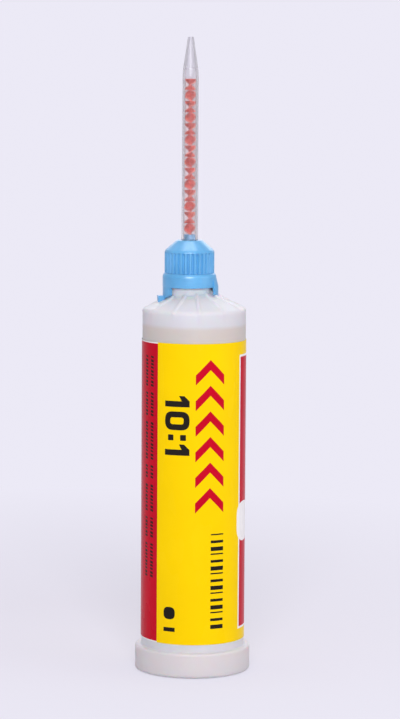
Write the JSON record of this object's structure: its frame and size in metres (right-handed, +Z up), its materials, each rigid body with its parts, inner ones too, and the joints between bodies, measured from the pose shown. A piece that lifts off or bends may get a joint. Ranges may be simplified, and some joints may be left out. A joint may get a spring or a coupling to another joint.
{
  "type": "two-component glue cartridge",
  "caption": "Upright two-component glue cartridge: ribbed barrel on a foot ring, wrap label, bayonet nut and collar, and a clear static mixing nozzle.",
  "frame": {"origin": "centre of the foot ring's underside, on the barrel's axis", "axes": "+Z up along the barrel's axis towards the nozzle; -Y is the front with the numerals; the neck is set off towards -X, over the inner tube"},
  "size_m": [0.0336, 0.0336, 0.1841],
  "materials": {
    "milky_plastic": "translucent natural polypropylene, satin",
    "piston_plastic": "natural polyethylene, waxy",
    "resin": "clouded liquid",
    "activator": "clouded liquid",
    "label_yellow": "laminated film",
    "print_red": "laminated film",
    "print_white": "laminated film",
    "print_black": "laminated film",
    "blue_plastic": "moulded, satin",
    "clear_plastic": "clear polypropylene",
    "coral_plastic": "moulded, satin"
  },
  "bodies": {
    "cartridge": {"barrel": "milky_plastic", "activator_tube": "milky_plastic", "resin_fill": "resin", "activator_fill": "activator", "label": "label_yellow", "red_print": "print_red", "white_print": "print_white", "black_print": "print_black", "locking_collar": "blue_plastic", "mixer_inlet": "blue_plastic", "mixer_tube": "clear_plastic", "mixing_elements": "coral_plastic"},
    "nut": {"retaining_nut": "blue_plastic"},
    "resin_plunger": {"resin_piston": "piston_plastic"},
    "activator_plunger": {"activator_piston": "piston_plastic"}
  },
  "joints": [
    {"name": "nut_turn", "type": "hinge", "parent": "cartridge", "child": "nut", "pos_m": [-0.0015, 0, 0.116], "axis": [0, 0, 1], "range_deg": [0, 90]},
    {"name": "resin_push", "type": "slide", "parent": "cartridge", "child": "resin_plunger", "axis": [0, 0, 1], "range_m": [0, 0.078], "deforming": ["resin_fill", "activator_fill"]},
    {"name": "activator_push", "type": "slide", "parent": "cartridge", "child": "activator_plunger", "axis": [0, 0, 1], "range_m": [0, 0.078]}
  ],
  "couplings": [
    {"joint": "activator_push", "follows": "resin_push", "ratio": 1}
  ]
}
